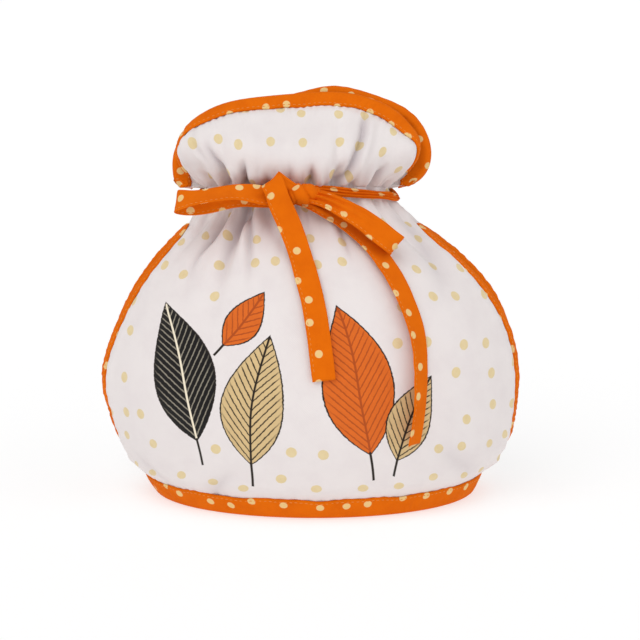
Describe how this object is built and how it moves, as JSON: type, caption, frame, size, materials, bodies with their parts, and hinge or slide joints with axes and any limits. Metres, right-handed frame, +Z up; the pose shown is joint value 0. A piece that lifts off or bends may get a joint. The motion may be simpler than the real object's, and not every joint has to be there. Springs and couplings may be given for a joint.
{
  "type": "tea cosy",
  "caption": "Padded cotton tea cosy with side openings for spout and handle, spotted bindings and a gathered neck closed by a bow tie.",
  "frame": {"origin": "on the floor, under the middle of the cosy's bounding box", "axes": "+Z up; -Y is the front, with the bow; +X is the handle's side"},
  "size_m": [0.2573, 0.2022, 0.2511],
  "materials": {
    "printed_cotton": "matt cotton, pale pinkish white with sand dots",
    "spotted_cotton": "matt cotton, orange with cream dots"
  },
  "bodies": {
    "root": {"front_panel": "printed_cotton", "back_panel": "printed_cotton", "hem_binding": "spotted_cotton", "left_slit_binding": "spotted_cotton", "right_slit_binding": "spotted_cotton", "front_frill_binding": "spotted_cotton", "back_frill_binding": "spotted_cotton", "tie": "spotted_cotton"}
  },
  "joints": []
}
